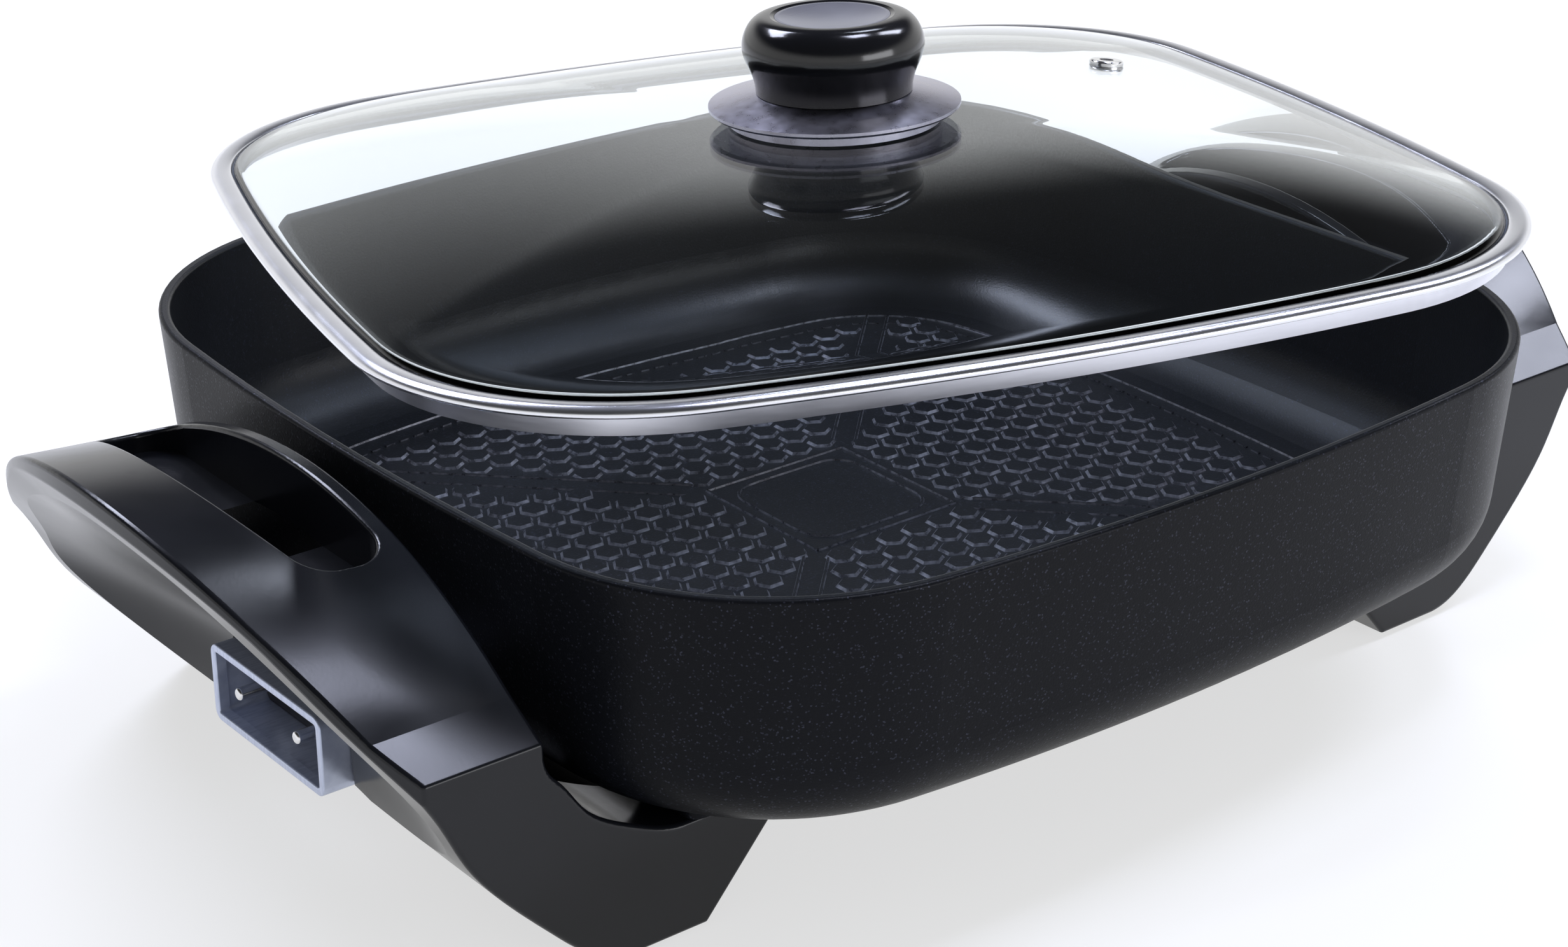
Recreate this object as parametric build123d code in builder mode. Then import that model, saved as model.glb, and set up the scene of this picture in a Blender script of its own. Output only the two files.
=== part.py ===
from build123d import *
from math import atan2, cos, degrees, radians, sin, sqrt, tan
import os

os.makedirs("parts", exist_ok=True)

# Electric skillet, millimetres, +Z up, feet on z = 0, origin under the middle of the pan.
# X runs from handle to handle with the power socket at -X; the open sides face -Y and +Y.

# ---- pan ----
rim_z = 100.0            # height of the rim above the table
pan_half_x = 155.0       # outside, at the middle of the two handle sides
pan_half_y = 151.5       # outside, at the middle of the two open sides
side_bow_x = 9.0         # how far the handle sides bulge past their corners
side_bow_y = 13.5
pan_corner_r = 72.5
pan_wall = 3.0
pan_depth = 58.0
pan_floor = 7.0
pan_draft = 4.0          # degrees
pan_heel_r = 22.0
pan_bowl_r = 20.0
pan_bottom_z = rim_z - pan_depth - pan_floor

# ---- cast seats under the pan ----
lug_x = 106.0
lug_y = 90.0
lug_len = 36.0
lug_wid = 22.0
lug_h = 4.0
lug_z = pan_bottom_z - lug_h
heel_len = 13.5          # stop beyond the tip of each arm
heel_h = 6.0
boss_half_y = 24.0
boss_tip_x = 140.0
boss_back_x = 92.0
boss_h = 6.0

# ---- heater, pins and probe ----
heater_d = 7.0
heater_z = 34.0
heater_half_y = 72.0
heater_near_x = 92.0
heater_far_x = 85.0
heater_bend_r = 24.0
pin_y = 14.0             # half the pitch of the two power pins
pin_d = 3.4
pin_root_d = 3.0         # thinner where the insulator holds the pin
pin_tip_x = 178.0
pin_root_x = 150.0
pin_step_x = 166.6       # the full size starts just ahead of the insulator
insulator_d = 8.0
insulator_tip_x = 166.0
probe_bore_d = 6.5
probe_tube_d = 9.0
probe_mouth_x = 164.5
probe_end_x = 108.0
bore_gap = 0.1           # radial clearance of everything that passes through a bore

# ---- socket ----
shroud_front_x = 178.0
shroud_back_x = 157.0
shroud_half_y = 26.5
shroud_low_z = 22.5
shroud_top_z = 44.0
shroud_t = 1.2
shroud_corner_r = 3.0
hem_t = 1.0              # edge of the sheet folded back inside the mouth
hem_len = 3.0
block_half_y = 29.0
block_top_z = 52.0
block_back_x = 152.8
nose_tip_x = 164.0
nose_gap = 0.2
foot_of_block_x = 140.0
foot_of_block_top = 34.5
tongue_h = 5.0
tongue_end_x = 116.0
terminal_screw_x = 127.0
terminal_screw_y = 21.0

# ---- handles ----
handle_half_y = 100.0
grip_in_x = 163.0        # inner edge of the grip
crease_x = 219.0         # outer edge of the grip's top, at the middle
crease_end_x = 194.0     # the same edge at the two ends
crease_rise = 6.0        # this edge above the rim, at the middle
ledge_wid = 12.0         # light ledge at the outside of each leg
ledge_drop = 35.0        # end of the ledge below the rim
arch_half_y = handle_half_y - ledge_wid
arch_drop = 28.0         # both edges of the top have come down this far at arch_half_y
arm_top_z = lug_z
foot_gap = 1.5           # moulding stops this far above the table
foot_in_x = 119.0
foot_out_x = 140.0
arm_tip_x = 100.0
arm_tip_h = 8.0
leg_wid = 24.0
grip_t = 16.0            # underside of the grip below the rim, at the middle
window_shoulder = 40.0   # underside of the grip below the rim, at the legs
window_r = 9.0
apron_t = 3.6            # wall between the legs, below the grip
apron_low_z = 24.0
cove_r = 300.0           # how gently the wall is scooped out, seen from above
notch_gap = 0.5
slot_in_x = 168.0
slot_out_x = 197.0
slot_end_x = 188.0
slot_half_y = 54.0
slot_shift = 6.0
slot_r = 9.5
handle_edge_r = 1.2
slot_lip_r = 1.0
wing_t = 3.0
wing_in_x = 129.0
wing_out_x = 168.0
wing_gap_half = 30.5
# outer face of a leg and scooped wall seen from the side: in from the crease, down from the rim
leg_line = (
    (-3.0, -6.0), (-0.2, -1.5), (7.5, 10.0), (11.8, 18.0), (16.7, 27.0), (22.0, 35.5),
    (28.5, 46.0), (35.0, 59.0), (43.0, 70.0), (57.0, 85.0),
)
cove_line = (
    (2.0, 2.5), (19.5, 20.0), (34.0, 36.0), (44.5, 49.0), (49.0, 58.0), (50.0, 68.0), (50.5, 76.0),
)
# inner face of a leg, in and up from its foot on the arm to the grip
leg_back = ((27.0, 3.0), (19.0, 7.0), (11.0, 13.0), (4.5, 22.0), (0.0, 30.0))
leg_back_start = 38.4

# ---- screws and pads of the handles ----
screw_x = 110.0
screw_y = 90.0
screw_d = 4.0
screw_head_d = 8.0
screw_head_h = 3.0
screw_bite = 5.0         # thread taken in the pan
washer_d = 9.0
washer_t = 0.8
sink_d = 10.0
sink_roof = 7.0          # plastic left above the head's pocket
pad_d = 14.0
pad_h = 4.0
pad_x = 129.5
pad_y = 89.0

# ---- lid, drawn about its own origin on the lower face of its rim ----
lid_half_x = 153.0
lid_half_y = 150.0
lid_corner_r = 72.0
bead_h = 3.0
skirt_inset = 5.1
skirt_t = 0.9
bead_wid = skirt_inset + skirt_t
skirt_depth = 5.0
shelf_wid = 5.0
shelf_low = 2.8
shelf_t = 0.8
glass_gap = 0.3
glass_t = 4.0
glass_edge_z = 3.2       # top of the glass at its edge
glass_top_z = 18.8       # top of the glass at the middle
glass_steep = 2.4        # exponent of the dome
glass_flat = 0.2         # share of the glass that is level, under the knob
vent_x = 96.0
vent_y = 33.0
vent_d = 4.0
vent_neck_d = 6.4
vent_flange_d = 9.6
vent_flange_t = 1.4

# ---- knob ----
gasket_t = 0.5
ring_d = 56.0
ring_h = 3.5
disc_d = 66.0
disc_edge = 1.5
cone_h = 3.2
grip_foot_d = 41.0
grip_wide_d = 47.5
grip_wide_h = 20.2       # above the glass
grip_top_h = 28.0
dish_d = 30.0
dish_t = 2.0
dish_depth = 1.4
insert_d = 9.0
insert_h = 5.0
insert_low = 11.7        # above the glass
insert_gap = 0.45
knob_screw_d = 5.0
knob_screw_head_d = 10.0
knob_screw_head_h = 3.2
under_washer_d = 22.0
under_washer_t = 1.2

# ---- where the lid rests ----
insert_mid = glass_top_z + insert_low + insert_h / 2
lid_lift = 32.0
lid_roll = -2.8
lid_pitch = -0.9
lid_yaw = -17.2
lid_turned = Plane(Location((0, 0, 0), (lid_roll, lid_pitch, lid_yaw), Extrinsic.XYZ))
pivot = Vector(0, 0, rim_z + lid_lift + insert_mid * lid_turned.z_dir.Z)
lid_at = Plane(
    origin=pivot - lid_turned.z_dir * insert_mid, x_dir=lid_turned.x_dir, z_dir=lid_turned.z_dir
)
lid_side = Plane(origin=lid_at.origin, x_dir=lid_at.x_dir, z_dir=-lid_at.y_dir)
lid_axis = Axis(lid_at.origin, lid_at.z_dir)


def bowed_square(half_x, half_y, bow_x, bow_y, corner_r):
    """Square with four bulging sides and rounded corners."""
    cx = half_x - bow_x
    cy = half_y - bow_y
    with BuildSketch() as outline:
        with BuildLine():
            ThreePointArc((cx, -cy), (half_x, 0), (cx, cy))
            ThreePointArc((cx, cy), (0, half_y), (-cx, cy))
            ThreePointArc((-cx, cy), (-half_x, 0), (-cx, -cy))
            ThreePointArc((-cx, -cy), (0, -half_y), (cx, -cy))
        make_face()
        fillet(outline.vertices(), corner_r)
    return outline.sketch


def pan_outline(inset):
    """Rim outline of the pan, moved inwards."""
    return bowed_square(
        pan_half_x - inset, pan_half_y - inset, side_bow_x, side_bow_y, pan_corner_r - inset
    )


def lid_outline(inset):
    """Outline of the lid, moved inwards."""
    return bowed_square(
        lid_half_x - inset, lid_half_y - inset, side_bow_x, side_bow_y, lid_corner_r - inset
    )


def glass_outline(share):
    """Outline of the glass, shrunk towards its middle."""
    edge = bead_wid + glass_gap
    return bowed_square(
        (lid_half_x - edge) * share,
        (lid_half_y - edge) * share,
        side_bow_x * share,
        side_bow_y * share,
        (lid_corner_r - edge) * share,
    )


def dome_z(share):
    """Height of the top of the glass at a share of the way out."""
    out = (share - glass_flat) / (1 - glass_flat)
    return glass_edge_z + (glass_top_z - glass_edge_z) * (1 - out**glass_steep)


# ================= pan and heater =================

# the sheathed element: two tails from the socket, then one loop under the floor
with BuildPart() as heater_sheath:
    with BuildLine(Plane.XY.offset(heater_z)) as heater_path:
        FilletPolyline(
            (-pin_root_x, pin_y),
            (-heater_near_x, pin_y),
            (-heater_near_x, heater_half_y),
            (heater_far_x, heater_half_y),
            (heater_far_x, -heater_half_y),
            (-heater_near_x, -heater_half_y),
            (-heater_near_x, -pin_y),
            (-pin_root_x, -pin_y),
            radius=heater_bend_r,
        )
    with BuildSketch(Plane(origin=(-pin_root_x, pin_y, heater_z), x_dir=(0, 1, 0), z_dir=(1, 0, 0))):
        Circle(heater_d / 2)
    sweep()
heater_sheath.part.label = "heater_sheath"
export_step(heater_sheath.part, "parts/heater_sheath.step")

# the room the element takes out of the casting
with BuildPart() as heater_room:
    with BuildLine(Plane.XY.offset(heater_z)):
        add(heater_path.line)
    with BuildSketch(Plane(origin=(-pin_root_x, pin_y, heater_z), x_dir=(0, 1, 0), z_dir=(1, 0, 0))):
        Circle(heater_d / 2 + bore_gap)
    sweep()

with BuildPart() as pan_cavity:
    with BuildSketch(Plane.XY.offset(rim_z)):
        add(pan_outline(pan_wall))
    extrude(amount=-pan_depth, taper=pan_draft)
    fillet(pan_cavity.faces().sort_by(Axis.Z)[0].edges(), pan_bowl_r)

with BuildPart() as pan:
    with BuildSketch(Plane.XY.offset(rim_z)):
        add(pan_outline(0))
    extrude(amount=-(pan_depth + pan_floor), taper=pan_draft)
    fillet(pan.faces().sort_by(Axis.Z)[0].edges(), pan_heel_r)
    # seats for the handle arms, each with a stop past the arm's tip
    with BuildSketch(Plane.XY.offset(lug_z)):
        with GridLocations(2 * lug_x, 2 * lug_y, 2, 2):
            RectangleRounded(lug_len, lug_wid, 4)
    extrude(amount=lug_h + pan_floor + 4)
    with BuildSketch(Plane.XY.offset(lug_z - heel_h)):
        with GridLocations(2 * (arm_tip_x - 0.3 - heel_len / 2), 2 * lug_y, 2, 2):
            RectangleRounded(heel_len, lug_wid, 4)
    extrude(amount=heel_h + lug_h + pan_floor / 2)
    # boss that the tails of the element run through
    with BuildSketch(Plane.XY.offset(pan_bottom_z - boss_h)):
        with Locations((-(boss_tip_x + boss_back_x) / 2, 0)):
            Rectangle(boss_tip_x - boss_back_x, 2 * boss_half_y)
    extrude(amount=boss_h + pan_floor)
    add(pan_cavity.part, mode=Mode.SUBTRACT)
    fillet(pan.edges().group_by(Axis.Z)[-1], pan_wall * 0.35)
    add(heater_room.part, mode=Mode.SUBTRACT)
    # room for the probe tube
    with BuildSketch(Plane(origin=(-boss_tip_x - 5, 0, heater_z), x_dir=(0, 1, 0), z_dir=(1, 0, 0))):
        Circle(probe_tube_d / 2 + bore_gap)
    extrude(amount=boss_tip_x + 5 - probe_end_x + 0.5, mode=Mode.SUBTRACT)
    # threads for the handle screws and the terminal screws
    with BuildSketch(Plane.XY.offset(lug_z)):
        with GridLocations(2 * screw_x, 2 * screw_y, 2, 2):
            Circle(screw_d / 2 + bore_gap)
    extrude(amount=lug_h + screw_bite, mode=Mode.SUBTRACT)
    with BuildSketch(Plane.XY.offset(pan_bottom_z - boss_h)):
        with Locations((-terminal_screw_x, terminal_screw_y), (-terminal_screw_x, -terminal_screw_y)):
            Circle(screw_d / 2 + bore_gap)
    extrude(amount=boss_h + screw_bite / 2, mode=Mode.SUBTRACT)
pan.part.label = "pan"
export_step(pan.part, "parts/pan.step")

# ================= socket =================

with BuildPart() as terminal_pins:
    with BuildSketch(Plane(origin=(-pin_root_x, 0, heater_z), x_dir=(0, 1, 0), z_dir=(-1, 0, 0))):
        with Locations((pin_y, 0), (-pin_y, 0)):
            Circle(pin_root_d / 2)
    extrude(amount=pin_step_x - pin_root_x)
    with BuildSketch(Plane(origin=(-pin_step_x, 0, heater_z), x_dir=(0, 1, 0), z_dir=(-1, 0, 0))):
        with Locations((pin_y, 0), (-pin_y, 0)):
            Circle(pin_d / 2)
    extrude(amount=pin_tip_x - pin_step_x)
    fillet(terminal_pins.faces().sort_by(Axis.X)[:2].edges(), pin_d / 4)
terminal_pins.part.label = "terminal_pins"
export_step(terminal_pins.part, "parts/terminal_pins.step")

with BuildPart() as pin_insulators:
    with BuildSketch(Plane(origin=(-pin_root_x, 0, heater_z), x_dir=(0, 1, 0), z_dir=(-1, 0, 0))):
        with Locations((pin_y, 0), (-pin_y, 0)):
            Circle(insulator_d / 2)
            Circle(pin_root_d / 2 + bore_gap, mode=Mode.SUBTRACT)
    extrude(amount=insulator_tip_x - pin_root_x)
pin_insulators.part.label = "pin_insulators"
export_step(pin_insulators.part, "parts/pin_insulators.step")

# tube that the thermostat probe slides into
with BuildPart() as probe_sleeve:
    with BuildSketch(Plane(origin=(-probe_mouth_x, 0, heater_z), x_dir=(0, 1, 0), z_dir=(1, 0, 0))):
        Circle(probe_tube_d / 2)
    extrude(amount=probe_mouth_x - probe_end_x)
    with BuildSketch(Plane(origin=(-probe_mouth_x, 0, heater_z), x_dir=(0, 1, 0), z_dir=(1, 0, 0))):
        Circle(probe_bore_d / 2)
    extrude(amount=probe_mouth_x - probe_end_x - 1.5, mode=Mode.SUBTRACT)
probe_sleeve.part.label = "probe_sleeve"
export_step(probe_sleeve.part, "parts/probe_sleeve.step")

shroud_mid_z = (shroud_low_z + shroud_top_z) / 2
with BuildPart() as socket_shroud:
    with BuildSketch(Plane(origin=(-shroud_back_x, 0, shroud_mid_z), x_dir=(0, 1, 0), z_dir=(-1, 0, 0))):
        RectangleRounded(2 * shroud_half_y, shroud_top_z - shroud_low_z, shroud_corner_r)
        offset(amount=-shroud_t, mode=Mode.SUBTRACT)
    extrude(amount=shroud_front_x - shroud_back_x)
    with BuildSketch(Plane(origin=(-shroud_front_x, 0, shroud_mid_z), x_dir=(0, 1, 0), z_dir=(1, 0, 0))):
        RectangleRounded(2 * shroud_half_y - 1, shroud_top_z - shroud_low_z - 1, shroud_corner_r - 0.5)
        offset(amount=-shroud_t - hem_t + 0.5, mode=Mode.SUBTRACT)
    extrude(amount=hem_len)
    fillet(socket_shroud.edges().group_by(Axis.X)[0], 0.5)
    with BuildSketch(Plane(origin=(-(shroud_back_x + 5), -shroud_half_y - 1, heater_z), z_dir=(0, 1, 0))):
        Circle(1.25 + bore_gap)
    extrude(amount=2 * shroud_half_y + 2, mode=Mode.SUBTRACT)
socket_shroud.part.label = "socket_shroud"
export_step(socket_shroud.part, "parts/socket_shroud.step")

# moulded block that carries the shroud and the pins, with a foot under the boss
boss_low_z = pan_bottom_z - boss_h
nose_half_y = shroud_half_y - shroud_t - nose_gap
with BuildPart() as terminal_block:
    with BuildSketch(Plane.XZ):
        with BuildLine():
            Polyline(
                (-shroud_back_x, shroud_low_z),
                (-shroud_back_x, block_top_z - 1.5),
                (-shroud_back_x + 1.5, block_top_z),
                (-block_back_x, block_top_z),
                (-block_back_x, foot_of_block_top),
                (-foot_of_block_x - 0.2, foot_of_block_top),
                (-foot_of_block_x - 0.2, boss_low_z),
                (-tongue_end_x, boss_low_z),
                (-tongue_end_x, boss_low_z - tongue_h),
                (-foot_of_block_x, boss_low_z - tongue_h),
                (-foot_of_block_x - 2, shroud_low_z),
                close=True,
            )
        make_face()
    extrude(amount=block_half_y, both=True)
    with BuildSketch(Plane(origin=(-shroud_back_x, 0, shroud_mid_z), x_dir=(0, 1, 0), z_dir=(-1, 0, 0))):
        RectangleRounded(2 * nose_half_y, shroud_top_z - shroud_low_z - 2 * shroud_t - 2 * nose_gap, 2)
    extrude(amount=nose_tip_x - shroud_back_x)
    with BuildSketch(Plane(origin=(-nose_tip_x - 1, 0, heater_z), x_dir=(0, 1, 0), z_dir=(1, 0, 0))):
        with Locations((pin_y, 0), (-pin_y, 0)):
            Circle(insulator_d / 2 + bore_gap)
        Circle(probe_tube_d / 2 + bore_gap)
    extrude(amount=nose_tip_x + 1 - foot_of_block_x + 3, mode=Mode.SUBTRACT)
    with BuildSketch(Plane(origin=(-(shroud_back_x + 5), -shroud_half_y - 1, heater_z), z_dir=(0, 1, 0))):
        Circle(1.25 + bore_gap)
    extrude(amount=8, mode=Mode.SUBTRACT)
    with BuildSketch(Plane(origin=(-(shroud_back_x + 5), shroud_half_y + 1, heater_z), z_dir=(0, -1, 0))):
        Circle(1.25 + bore_gap)
    extrude(amount=8, mode=Mode.SUBTRACT)
    with BuildSketch(Plane.XY.offset(boss_low_z - tongue_h)):
        with Locations((-terminal_screw_x, terminal_screw_y), (-terminal_screw_x, -terminal_screw_y)):
            Circle(screw_d / 2 + bore_gap)
    extrude(amount=tongue_h, mode=Mode.SUBTRACT)
terminal_block.part.label = "terminal_block"
export_step(terminal_block.part, "parts/terminal_block.step")

with BuildPart() as shroud_screws:
    with BuildSketch(Plane(origin=(-(shroud_back_x + 5), shroud_half_y, heater_z), z_dir=(0, 1, 0))):
        Circle(2.5)
    extrude(amount=1.6)
    fillet(shroud_screws.faces().sort_by(Axis.Y)[-1].edges(), 0.8)
    with BuildSketch(Plane(origin=(-(shroud_back_x + 5), shroud_half_y, heater_z), z_dir=(0, -1, 0))):
        Circle(1.25)
    extrude(amount=6.5)
    mirror(about=Plane.XZ)
shroud_screws.part.label = "shroud_screws"
export_step(shroud_screws.part, "parts/shroud_screws.step")

with BuildPart() as terminal_screws:
    with BuildSketch(Plane.XY.offset(boss_low_z - tongue_h)):
        with Locations((-terminal_screw_x, terminal_screw_y), (-terminal_screw_x, -terminal_screw_y)):
            Circle(screw_head_d / 2)
    extrude(amount=-screw_head_h)
    fillet(terminal_screws.faces().group_by(Axis.Z)[0].edges(), 1.2)
    with BuildSketch(Plane.XY.offset(boss_low_z - tongue_h)):
        with Locations((-terminal_screw_x, terminal_screw_y), (-terminal_screw_x, -terminal_screw_y)):
            Circle(screw_d / 2)
    extrude(amount=tongue_h + boss_h + screw_bite / 2 - 0.5)
terminal_screws.part.label = "terminal_screws"
export_step(terminal_screws.part, "parts/terminal_screws.step")

# ================= handles =================

# everything below the arched top of a handle
with BuildPart() as handle_sky:
    for section_x, rise in ((arm_tip_x - 10, 0), (grip_in_x, 0), (crease_x, crease_rise)):
        with BuildSketch(Plane.YZ.offset(section_x)):
            with BuildLine():
                ThreePointArc(
                    (-arch_half_y, rim_z - arch_drop), (0, rim_z + rise), (arch_half_y, rim_z - arch_drop)
                )
                Polyline(
                    (arch_half_y, rim_z - arch_drop),
                    (handle_half_y, rim_z - ledge_drop),
                    (handle_half_y, -5),
                    (-handle_half_y, -5),
                    (-handle_half_y, rim_z - ledge_drop),
                    (-arch_half_y, rim_z - arch_drop),
                )
            make_face()
    loft(ruled=True)

# room between the legs: all that lies inside the scooped wall, and the gap below it
cove_axis_x = crease_x - cove_line[-1][0] + cove_r
cove_axis = Axis((cove_axis_x, 0, 0), (0, 0, 1))
with BuildPart() as between_legs:
    with BuildSketch(Plane.YZ.offset(arm_tip_x - 10)) as window:
        with BuildLine():
            ThreePointArc(
                (-handle_half_y + leg_wid, rim_z - window_shoulder),
                (0, rim_z - grip_t),
                (handle_half_y - leg_wid, rim_z - window_shoulder),
            )
            Polyline(
                (handle_half_y - leg_wid, rim_z - window_shoulder),
                (handle_half_y - leg_wid, -5),
                (-handle_half_y + leg_wid, -5),
                (-handle_half_y + leg_wid, rim_z - window_shoulder),
            )
        make_face()
        fillet(window.vertices().group_by(Axis.Y)[-1], window_r)
    extrude(amount=crease_x - arm_tip_x + 20)
    with BuildSketch(Plane.XZ):
        with BuildLine():
            inner_line = Spline(*[(crease_x - u - apron_t, rim_z - v) for u, v in cove_line])
            Polyline(
                inner_line @ 1,
                (cove_axis_x, (inner_line @ 1).Y),
                (cove_axis_x, (inner_line @ 0).Y),
                inner_line @ 0,
            )
        make_face()
    revolve(axis=cove_axis, mode=Mode.SUBTRACT)

# scoop in the outer face
with BuildPart() as cove:
    with BuildSketch(Plane.XZ):
        with BuildLine():
            outer_line = Spline(*[(crease_x - u, rim_z - v) for u, v in cove_line])
            Polyline(
                outer_line @ 1,
                (crease_x - cove_line[-1][0], -5),
                (cove_axis_x, -5),
                (cove_axis_x, (outer_line @ 0).Y),
                outer_line @ 0,
            )
        make_face()
    revolve(axis=cove_axis)

plan_bow = crease_x - crease_end_x
plan_r = (handle_half_y**2 + plan_bow**2) / (2 * plan_bow)
with BuildPart() as right_handle:
    # side view: curved outer face, foot, slanted toe, arm under the pan, hollow towards the pan
    with BuildSketch(Plane.XZ.offset(-handle_half_y)):
        with BuildLine():
            Spline(
                *[(crease_x - u, rim_z - v) for u, v in leg_line],
                (foot_out_x + 7, foot_gap + 1.6),
                (foot_out_x, foot_gap),
            )
            Polyline(
                (foot_out_x, foot_gap),
                (foot_in_x, foot_gap),
                (arm_tip_x, arm_top_z - arm_tip_h),
                (arm_tip_x, arm_top_z),
                (grip_in_x - leg_back_start, arm_top_z),
            )
            Spline(
                (grip_in_x - leg_back_start, arm_top_z),
                *[(grip_in_x - u, arm_top_z + v) for u, v in leg_back],
                tangents=((1, 0), (0.15, 1)),
            )
            Polyline(
                (grip_in_x, arm_top_z + leg_back[-1][1]),
                (grip_in_x, rim_z + 15),
                (crease_x - leg_line[0][0], rim_z + 15),
                (crease_x - leg_line[0][0], rim_z - leg_line[0][1]),
            )
        make_face()
    extrude(amount=2 * handle_half_y)
    add(handle_sky.part, mode=Mode.INTERSECT)
    # bowed outer edge
    with BuildSketch(Plane.XY.offset(-10)):
        with Locations((crease_x - plan_r, 0)):
            Circle(plan_r)
    extrude(amount=rim_z + 40, mode=Mode.INTERSECT)
    # the line where arch meets ledge stays crisp; every other edge is eased
    ledge_lines = right_handle.edges().filter_by(
        lambda e: abs(abs(e.center().Y) - arch_half_y) < 1 and abs(e.center().Z - rim_z + arch_drop) < 1
    )
    fillet(right_handle.edges() - ledge_lines, handle_edge_r)
    add(between_legs.part, mode=Mode.SUBTRACT)
    # shelf on the inner side of each leg
    with BuildSketch(Plane.XY.offset(arm_top_z - wing_t)):
        with Locations(((wing_in_x + wing_out_x) / 2, 0)):
            Rectangle(wing_out_x - wing_in_x, 2 * (handle_half_y - leg_wid) + 2)
            Rectangle(wing_out_x - wing_in_x, 2 * wing_gap_half, mode=Mode.SUBTRACT)
    extrude(amount=wing_t)
    add(cove.part, mode=Mode.SUBTRACT)
    # finger slot down through the grip
    with BuildSketch(Plane.XY.offset(rim_z - grip_t - 1)) as slot:
        with BuildLine():
            ThreePointArc(
                (slot_end_x, -slot_half_y - slot_shift),
                (slot_out_x, -slot_shift),
                (slot_end_x, slot_half_y - slot_shift),
            )
            Polyline(
                (slot_end_x, slot_half_y - slot_shift),
                (slot_in_x, slot_half_y - slot_shift),
                (slot_in_x, -slot_half_y - slot_shift),
                (slot_end_x, -slot_half_y - slot_shift),
            )
        make_face()
        fillet(slot.vertices(), slot_r)
    extrude(amount=grip_t + crease_rise + 10, mode=Mode.SUBTRACT)
    slot_lips = right_handle.edges().filter_by(
        lambda e: slot_in_x - 1 < e.center().X < slot_out_x + 1
        and abs(e.center().Y + slot_shift) < slot_half_y + 1
        and min(v.Z for v in e.vertices()) > rim_z - grip_t + 2
    )
    fillet(slot_lips, slot_lip_r)
    # screw holes with pockets for the heads, and sockets for the pads
    with BuildSketch(Plane.XY):
        with Locations((screw_x, screw_y), (screw_x, -screw_y)):
            Circle(sink_d / 2)
    extrude(amount=arm_top_z - sink_roof, mode=Mode.SUBTRACT)
    with BuildSketch(Plane.XY):
        with Locations((screw_x, screw_y), (screw_x, -screw_y)):
            Circle(screw_d / 2 + bore_gap)
    extrude(amount=arm_top_z + 5, mode=Mode.SUBTRACT)
    with BuildSketch(Plane.XY):
        with Locations((pad_x, pad_y), (pad_x, -pad_y)):
            Circle(pad_d / 2 + bore_gap)
    extrude(amount=pad_h, mode=Mode.SUBTRACT)
right_handle.part.label = "right_handle"
export_step(right_handle.part, "parts/right_handle.step")

with BuildPart() as left_handle:
    add(right_handle.part.rotate(Axis.Z, 180))
    # notch that the socket comes out through
    with BuildSketch(Plane(origin=(-shroud_back_x, 0, 0), x_dir=(0, -1, 0), z_dir=(-1, 0, 0))):
        with Locations((0, (shroud_top_z + notch_gap) / 2)):
            RectangleRounded(
                2 * (shroud_half_y + notch_gap), shroud_top_z + notch_gap, shroud_corner_r + notch_gap
            )
    extrude(amount=shroud_front_x - shroud_back_x, mode=Mode.SUBTRACT)
left_handle.part.label = "left_handle"
export_step(left_handle.part, "parts/left_handle.step")

washer_low_z = arm_top_z - sink_roof - washer_t
with BuildPart() as handle_washers:
    with BuildSketch(Plane.XY.offset(washer_low_z)):
        with GridLocations(2 * screw_x, 2 * screw_y, 2, 2):
            Circle(washer_d / 2)
            Circle(screw_d / 2 + bore_gap, mode=Mode.SUBTRACT)
    extrude(amount=washer_t)
handle_washers.part.label = "handle_washers"
export_step(handle_washers.part, "parts/handle_washers.step")

with BuildPart() as handle_screws:
    with BuildSketch(Plane.XY.offset(washer_low_z)):
        with GridLocations(2 * screw_x, 2 * screw_y, 2, 2):
            Circle(screw_head_d / 2)
    extrude(amount=-screw_head_h)
    fillet(handle_screws.faces().group_by(Axis.Z)[0].edges(), 1.2)
    with BuildSketch(Plane.XY.offset(washer_low_z)):
        with GridLocations(2 * screw_x, 2 * screw_y, 2, 2):
            Circle(screw_d / 2)
    extrude(amount=washer_t + sink_roof + lug_h + screw_bite - 0.5)
handle_screws.part.label = "handle_screws"
export_step(handle_screws.part, "parts/handle_screws.step")

with BuildPart() as foot_pads:
    with BuildSketch(Plane.XY):
        with GridLocations(2 * pad_x, 2 * pad_y, 2, 2):
            Circle(pad_d / 2)
    extrude(amount=pad_h)
    fillet(foot_pads.edges().group_by(Axis.Z)[0], 0.8)
foot_pads.part.label = "foot_pads"
export_step(foot_pads.part, "parts/foot_pads.step")

# ================= lid =================

# rolled rim, skirt that drops into the pan, and shelf that carries the glass
with BuildPart() as lid_band:
    with BuildSketch(lid_at):
        add(lid_outline(0))
        add(lid_outline(bead_wid), mode=Mode.SUBTRACT)
    extrude(amount=bead_h)
    fillet(lid_band.faces().filter_by(lid_at).sort_by(lid_axis)[-1].outer_wire().edges(), bead_h * 0.4)
    with BuildSketch(lid_at.offset(-skirt_depth)):
        add(lid_outline(skirt_inset))
        add(lid_outline(skirt_inset + skirt_t), mode=Mode.SUBTRACT)
    extrude(amount=skirt_depth)
    with BuildSketch(lid_at.offset(-shelf_low)):
        add(lid_outline(skirt_inset))
        add(lid_outline(skirt_inset + shelf_wid), mode=Mode.SUBTRACT)
    extrude(amount=shelf_t)
lid_band.part.label = "lid_band"
export_step(lid_band.part, "parts/lid_band.step")

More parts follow.
